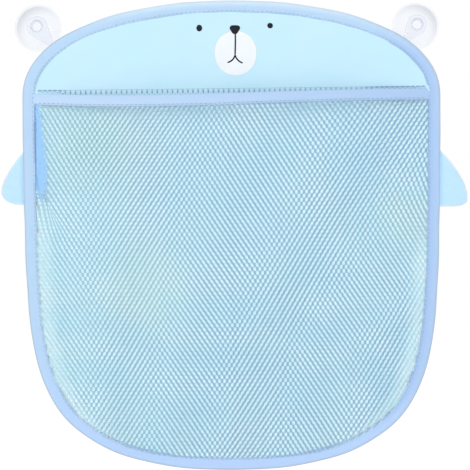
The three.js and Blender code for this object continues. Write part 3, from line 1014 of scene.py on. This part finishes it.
def pleat(x, level):
    """Takes the net in at its left edge. Across the pleat the net runs on, back and on again, so
    its place is its distance from its edge less a smooth step of twice the pleat's width, and each
    of the three layers lies in front of the last. The width grows from the mouth down, then dies
    away. The net is cut wider at that edge by what the pleat takes."""
    grown, faded = pleat_width(level), smooth_step(-level, *pleat_fades)
    width = grown * (1 - faded)
    flat = x + half_width_at(level) - binding_width + 2 * width
    back = smooth_step(flat, pleat_back[0] * grown, pleat_back[1] * grown + pleat_opening * faded)
    opened = smooth_step(-level, 0, pleat_start) * (1 - faded)
    on = smooth_step(flat, pleat_on[0] * grown, pleat_on[1] * grown)
    front = pleat_layer * opened * (back + on - 1)
    front = front * (1 - smooth_step(flat, pleat_out[0] * grown, pleat_out[1] * grown))
    return x + 2 * width * (1 - back), front


def fold_share(x, level):
    """How tight the pleat's three layers lie at a place of the pocket net as it hangs."""
    flat = x + half_width_at(level) - binding_width
    grown = pleat_width(level)
    tight = 1 - smooth_step(flat, fold_end[0] * grown, fold_end[1] * grown)
    return tight * (1 - smooth_step(-level, *fold_fades))


def pocket_place(flat, depth):
    """Where a flat place of the pocket net hangs. The net is turned a little against the back net,
    drawn towards the right end of the mouth, taken in by a pleat at the left, and hung from the
    mouth over the pocket's depth."""
    x, level = turned(flat, front_net_turn)
    x, level = x * front_draw[0], level * front_draw[1]
    x = x + waves(x, level, front_sway)
    corner = soft_spot(x, level, corner_place, corner_radius)
    x, level = x + corner_pull[0] * corner, level + corner_pull[1] * corner
    x, front = pleat(x, level)
    level = level - mouth_drop(x, level)
    y = middle_y - pocket_gap - pocket_depth(x, level) - front + depth
    return np.stack([x, y, widest_z + level], 1)


def pocket_holes(flat):
    """The pull on the net leans its holes to the right and to the left in broad upright bands: a
    cosine across the bag, whose waves grow narrower down the pocket. In the pleat the net is
    pressed together, so that its holes nearly close."""
    down = flat[:, 1] - lean_place[1]
    width = np.maximum(lean_width + lean_narrowing * down, lean_least_share * lean_width)
    across = flat[:, 0] - lean_place[0] - lean_slant * down
    lean = hole_lean * np.cos(math.tau * across / width)
    hung = pocket_place(flat, 0.0)
    pressed = fold_press * fold_share(hung[:, 0], hung[:, 2] - widest_z) * (flat[:, 0] < 0)
    return lean * (1 - pressed), 1 - pressed


centres = net_centres(-lower_height - front_spare, mouth_level + front_spare)
x, level, kept = hung_cells(centres, pocket_place)
kept &= level < mouth_line(x) - mouth_tuck
front_yarn = yarn_material("pocket_net_yarn", *front_grain)
multiply_tone(front_yarn)
for side, name in ((-1, "left"), (1, "right")):
    half = kept & ((centres[:, 0] < 0) if side < 0 else (centres[:, 0] >= 0))
    piece = hexagon_net(f"pocket_net_{name}", centres[half], pocket_place, front_bars, pocket_holes)
    piece.data.materials.append(front_yarn)
    piece.visible_shadow = False
    places = np.zeros(len(piece.data.vertices) * 3)
    piece.data.vertices.foreach_get("co", places)
    x, _, z = places.reshape(-1, 3).T
    level = z - widest_z
    to_edge = half_width_at(level) - binding_width - np.abs(x)
    near_edge = 1 - smooth_step(to_edge, *front_edge_run)
    # The pocket net's yarn is painted deeper than the back net's: painted shade.
    give_tone(piece, front_net_painted_shade_colour, (
        (smooth_step(-x, *front_left_run), front_left_colour),
        (near_edge * smooth_step(-level, *pleat_fades), front_edge_colour),
        (soft_spot(x, level, corner_place, corner_radius), front_corner_colour),
        # painted light where the cells of the two nets fall in step
        *((soft_spot(x, level, place, radius), colour) for place, radius, colour in front_painted_light_patches),
        (fold_share(x, level) * (x < 0), pleat_colour),
    ))
    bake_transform(piece)
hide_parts("pocket_net")

# Mouth band. The binding's tape again, folded down over the pocket net's top edge and sewn
# through near its lower edge. Its ends run under the edge binding.
band_fold_half = 0.00105
band_nose = 0.0018
band_tape = 0.0004
band_inner_half = 0.62
band_edge_shares = (0.82, 0.7)
band_steps = (9, 5)
band_end_half = 0.00035
band_end_run = 0.008
band_stitch_height = 0.0016
band_stitch_out = 0.83
band_stitch_fade = 0.01
band_inset = 0.0090
band_map_gap = 0.0002
band_map_round = 0.04
band_low_run = (0.2, 0.65)
band_colour = (0.434, 0.589, 0.765)
# Painted light: lighter towards the band's lower edge, where it curves away from the lamps.
band_low_painted_light_colour = (0.456, 0.611, 0.774)
# Painted shade: darker from the left end of the band to the right.
band_right_painted_shade_colour = (0.361, 0.512, 0.731)


def band_thickness(x):
    """Half the band's thickness, which the binding presses flat at the ends."""
    to_end = half_width - band_inset - np.abs(x)
    return band_end_half + (band_fold_half - band_end_half) * smooth_step(to_end, 0, band_end_run)


def band_section(x, down, out):
    """Points of the band a distance down from its fold, and out from its middle by shares of its
    half thickness."""
    level = mouth_line(x)[:, None] - down[None]
    wide_x = np.repeat(x[:, None], len(down), 1)
    y = middle_y - pocket_gap - pocket_depth(wide_x, level) + out[None] * band_thickness(x)[:, None]
    return np.stack([wide_x, y, widest_z + level], -1)


band_inset_outer, band_depth_outer = fold_section(
    1.0, band_nose, band_width, band_edge_shares[0], band_steps[0],
)
band_inset_inner, band_depth_inner = fold_section(
    band_inner_half, band_nose, band_width - band_tape, band_edge_shares[1], band_steps[1],
)
band_down = np.concatenate([band_inset_outer, band_inset_inner[::-1] + band_tape])
band_out = np.concatenate([band_depth_outer, band_depth_inner[::-1]])
band_thread_count = round((half_width - band_inset) / stitch_pitch)
for side, name in ((-1, "left"), (1, "right")):
    end = half_width - band_inset
    x = side * np.linspace(0, end, band_thread_count * steps_per_stitch + 1)
    gone = np.abs(x)
    points = band_section(x, band_down, band_out)
    dip = pulled(band_down[None], band_width - band_stitch_height, gone[:, None])
    dip = dip * np.where(np.arange(len(band_down)) < len(band_inset_outer), 1, 0)
    dip = dip * smooth_step(end - gone, 0, band_stitch_fade)[:, None]
    points[..., 1] -= np.sign(band_out) * dip
    rows, columns = points.shape[:2]
    corner_rows, corner_columns = grid_faces(rows, columns, False, True)
    faces = corner_rows * columns + corner_columns % columns
    step = np.abs(np.diff(band_down)) + band_map_gap
    across = np.concatenate([[0], np.cumsum(step), [band_map_round]])
    uv = np.stack([gone[corner_rows], across[corner_columns]], -1)
    # The left half's faces are turned round, so that they point outwards too.
    order = slice(None) if side > 0 else slice(None, None, -1)
    piece = mesh_object(f"mouth_band_{name}", points, faces[:, order], uv[:, order])
    piece.data.materials.append(tape_cloth)
    low = np.repeat(band_down[None] / band_width, rows, 0)
    give_tone(piece, band_colour, (
        # painted light towards the lower edge
        (smooth_step(low, *band_low_run), band_low_painted_light_colour),
        # painted shade, darker towards the right
        (np.clip(0.5 + points[..., 0] / (2 * end), 0, 1), band_right_painted_shade_colour),
    ))
    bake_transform(piece)
    if side < 0:
        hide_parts("mouth_band")
    stitch_x = side * (np.arange(band_thread_count - 1) + 0.5) * end / band_thread_count
    down = np.array([band_width - band_stitch_height])
    both = [
        band_section(stitch_x, down, np.array([band_stitch_out * face]))[:, 0] for face in (-1, 1)
    ]
    heads = np.gradient(both[0], axis=0)
    row = stitch_row(f"band_stitches_{name}", np.concatenate(both), np.tile(heads, (2, 1)),
                     stitch_pitch * stitch_share, thread_radius)
    row.data.materials.append(thread)
    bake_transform(row)

# Paws. Each is two plies of the header's cloth, sewn together round the edge and turned, so that
# it is a little puffed. Its open side is sewn to the back of the binding's edge.
paw_drop = 0.1256
paw_tuck = 0.0012
paw_puff = 0.0022
paw_grid = (61, 33)
paw_cloth_half = 0.00012
paw_least_reach = 0.0009
paw_wrinkles = ((0.12, 1, 1, 0.013, 0), (0.08, 0, 1, 0.0093, 0))
paw_seam_run = (0.001, 0.005)
paw_rim_run = (0.0002, 0.0022)
paw_grain = ((0.985, 1.0, 1.0), (1.0, 0.96, 0.985))
paw_colour = (0.452, 0.679, 0.817)
# Painted shade: deeper near the seam, where the paw meets the binding.
paw_seam_painted_shade_colour = (0.378, 0.602, 0.791)
# Painted highlight: lighter and greyer along the paw's rolled rim.
paw_rim_painted_highlight_colour = (0.568, 0.705, 0.765)
paw_shapes = {
    "left": {"height": 0.0440, "reach": 0.0184, "rise": 1.5, "full_at": 0.73, "corner": 0.0165,
             "corner_from": 0.76},
    "right": {"height": 0.0470, "reach": 0.0228, "rise": 1.6, "full_at": 0.81, "corner": 0.0110,
              "corner_from": 0.89},
}


def paw_reach(shape, down):
    """How far a paw reaches from the binding, by the share of its height from the top. Its edge
    leaves the binding along a power curve, and its lower corner is a quarter ellipse."""
    out = 1 - (1 - np.clip(down / shape["full_at"], 0, 1)) ** shape["rise"]
    round_part = np.clip((down - shape["corner_from"]) / (1 - shape["corner_from"]), 0, 1)
    corner = shape["corner"] * (1 - np.sqrt(1 - round_part**2))
    return shape["reach"] * out - corner


paw_fabric = cloth_material(
    "paw_cloth", *paw_grain, "Object", pitch=header_weave, size=0.012, roughness=0.9, bump=0.3,
)
multiply_tone(paw_fabric)
for side, name in ((-1, "left"), (1, "right")):
    shape = paw_shapes[name]
    paw_height = shape["height"]
    down = np.sin(np.pi / 2 * np.linspace(0, 1, paw_grid[0]))[:, None]
    level = arch_height - paw_drop - paw_height * down
    across = np.linspace(0, 1, paw_grid[1])[None]
    inner = half_width_at(level) - paw_tuck
    outer = half_width_at(level) + np.maximum(paw_reach(shape, down), paw_least_reach - paw_tuck)
    x = side * (inner + (outer - inner) * across)
    level = np.repeat(level, across.size, 1)
    inside = np.sqrt(16 * across * (1 - across) * down * (1 - down))
    wrinkle = 1 + waves(x, level, paw_wrinkles)
    puff = paw_puff * inside * np.clip((outer - inner) / shape["reach"], 0, 1) * wrinkle
    # The right paws' grids are turned round, so that their faces point outwards too.
    way = slice(None, None, -1) if side > 0 else slice(None)
    for ply, node in ((-1, "front"), (1, "back")):
        y = middle_y + ply * (paw_cloth_half + puff)
        piece = slab(f"{name}_paw_{node}_cloth", x[way], y[way], widest_z + level[way],
                     paw_cloth_half)
        piece.data.materials.append(paw_fabric)
        gone = np.minimum((outer - inner) * (1 - across), paw_height * np.minimum(down, 1 - down))
        near_seam = 1 - smooth_step((outer - inner) * across, *paw_seam_run)
        layers = np.stack([near_seam, 1 - smooth_step(gone, *paw_rim_run)])
        layers = np.tile(layers[:, way], (1, 2, 1))
        # Painted shade near the seam, and a painted highlight along the rim.
        give_tone(piece, paw_colour, ((layers[0], paw_seam_painted_shade_colour), (layers[1], paw_rim_painted_highlight_colour)))
        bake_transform(piece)
        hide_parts(f"{name}_paw_{node}")

# Tabs. Clear vinyl, moulded as a teardrop with a thicker rim and an eyelet for the cup's neck. The
# narrow end is sewn to the back of the binding.
tab_middle_y = -0.0104
tab_half = 0.0006
tab_lengths = {"left": 0.0194, "right": 0.0154}
tab_round = 0.0088
tab_neck_half = 0.0024
tab_tail = 0.008
eyelet_radius = 0.0037
tab_rim_points = 160
tab_arc_points = 200
tab_corner_share = 0.0625
tab_rim_gain = 0.6
tab_rim_run = (0.76, 0.90)
tab_angles = {"left": math.radians(52), "right": math.radians(54.7)}
vinyl_colour = (0.915, 0.938, 0.98)
vinyl_edge_colour = (0.40, 0.42, 0.50)


def vinyl_material(name):
    """Clear soft vinyl: it lets light through with a faint blue tint, which is deeper where it is
    seen edge on, and its surface has the low waves of a moulding."""
    material, tree, shader = new_material(name)
    facing = add_node(tree, "LayerWeight", {})
    edge_on = add_node(tree, "MapRange", {
        "Value": facing.outputs["Facing"], "From Min": 0.24, "From Max": 0.7,
    })
    tint = add_node(tree, "Mix", {
        "A": (*vinyl_colour, 1), "B": (*vinyl_edge_colour, 1), "Factor": edge_on.outputs[0],
    }, data_type="RGBA")
    place = add_node(tree, "TexCoord", {}).outputs["Object"]
    noise = add_node(tree, "TexNoise", {"Vector": place, "Scale": 160})
    bumped = add_node(tree, "Bump", {
        "Strength": 0.08, "Distance": 0.0005, "Height": noise.outputs["Fac"],
    })
    set_inputs(tree, shader, {
        "Base Color": tint.outputs["Result"], "Normal": bumped.outputs[0], "Roughness": 0.06,
        "IOR": 1.25, "Transmission Weight": 1,
    })
    return material


def even_path(path, count):
    """The same path through count points, evenly spaced along it."""
    gone = gone_along(path)
    even = np.linspace(0, gone[-1], count)
    return np.stack([np.interp(even, gone, way) for way in path.T], 1)


def tab_rim(tab_length, count):
    """The teardrop's edge, evenly spaced: an arc round the eyelet, and straight sides drawn in to
    the neck, which ends square. It starts at the middle of the tail's end."""
    reach = math.hypot(tab_neck_half, tab_length)
    touch = math.atan2(tab_neck_half, tab_length) + math.acos(tab_round / reach) - math.pi / 2
    turn = np.linspace(touch, math.pi - touch, tab_arc_points)
    arc = tab_round * np.stack([np.cos(turn), np.sin(turn)], 1)
    tail = tab_length + tab_tail
    right = np.array([[0, -tail], [tab_neck_half, -tail], [tab_neck_half, -tab_length]])
    left = right[::-1] * np.array([-1, 1])
    return even_path(np.concatenate([right, arc, left]), count + 1)[:-1]


def cup_middle(name):
    """Where a side's cup has its middle on the wall, across and up."""
    low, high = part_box(f"{name}_cup")
    return (low.x + high.x) / 2, (low.z + high.z) / 2


vinyl = vinyl_material("clear_vinyl")
round_edge = np.linspace(0, np.pi, 7)
corner = tab_corner_share * (1 - np.sin(round_edge))
flat_face, ones = np.linspace(0.92, 0.08, 16), np.ones(16)
shares = np.concatenate([1 - corner, flat_face, corner, flat_face[::-1]])
depths = tab_half * np.concatenate([-np.cos(round_edge), ones, np.cos(round_edge), -ones])
depths = depths * (1 + tab_rim_gain * smooth_step(shares, *tab_rim_run))
for side, name in ((-1, "left"), (1, "right")):
    cup_x, cup_z = cup_middle(name)
    tab_angle, tab_length = tab_angles[name], tab_lengths[name]
    rim = tab_rim(tab_length, tab_rim_points)
    angle = np.arctan2(rim[:, 1], rim[:, 0])
    eyelet = eyelet_radius * np.stack([np.cos(angle), np.sin(angle)], 1)
    turn = side * (math.pi / 2 - tab_angle)
    flat = eyelet[:, None] + (rim - eyelet)[:, None] * shares[None, :, None]
    x = cup_x + flat[..., 0] * math.cos(turn) + flat[..., 1] * math.sin(turn)
    z = cup_z + flat[..., 1] * math.cos(turn) - flat[..., 0] * math.sin(turn)
    points = np.stack([x, tab_middle_y + np.repeat(depths[None], len(rim), 0), z], -1)
    piece = ring_sweep(f"{name}_tab_vinyl", points)
    piece.data.materials.append(vinyl)
    out = Vector((side * math.cos(tab_angle), 0, math.sin(tab_angle)))
    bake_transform(piece)
    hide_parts(f"{name}_tab")

# Suction cups. Each is one moulding of clear vinyl: a hollow dome with a thin flat lip on the
# wall, a boss, a neck through the tab's eyelet, and a dimpled head that keeps the tab on.
cup_sides = 96
cup_steps = 201
cup_soften = (0.25, 0.5, 0.25)
cup_profile = (
    # radius and distance from the wall, from the head's middle round the lip to the hollow's
    (0.0, 0.0146), (0.0016, 0.0147), (0.0029, 0.0152), (0.0036, 0.0155), (0.0044, 0.0155),
    (0.0052, 0.0150), (0.0054, 0.0142), (0.0054, 0.0120), (0.0051, 0.0114), (0.0040, 0.0113),
    (0.0034, 0.0109), (0.0034, 0.0099), (0.0040, 0.0095), (0.0052, 0.0095), (0.0056, 0.0090),
    (0.0068, 0.0086), (0.0090, 0.0078), (0.0118, 0.0062), (0.0148, 0.0042), (0.0174, 0.0023),
    (0.0186, 0.0014), (0.0191, 0.0017), (0.0196, 0.0017), (0.0200, 0.0011), (0.0200, 0.0004),
    (0.0196, 0.0), (0.0189, 0.0001),
    (0.0174, 0.0011), (0.0146, 0.0028), (0.0114, 0.0044), (0.0080, 0.0055), (0.0045, 0.0060),
    (0.0, 0.0061),
)
radius, out = even_path(np.array(cup_profile), cup_steps).T
radius[1:-1] = np.convolve(radius, cup_soften, "same")[1:-1]
out[1:-1] = np.convolve(out, cup_soften, "same")[1:-1]
turn = np.arange(cup_sides) * math.tau / cup_sides
for name in ("left", "right"):
    cup_x, cup_z = cup_middle(name)
    body = np.stack([
        cup_x + radius[1:-1, None] * np.cos(turn),
        np.repeat(-out[1:-1, None], cup_sides, 1),
        cup_z + radius[1:-1, None] * np.sin(turn),
    ], -1)
    tips = np.array([[cup_x, -out[0], cup_z], [cup_x, -out[-1], cup_z]])
    points = np.concatenate([body.reshape(-1, 3), tips])
    piece = mesh_object(f"{name}_suction_cup", points, closed_rings(len(body), cup_sides))
    piece.data.materials.append(vinyl)
    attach(piece, f"{name}_sucker")
    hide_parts(f"{name}_cup")

low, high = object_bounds()
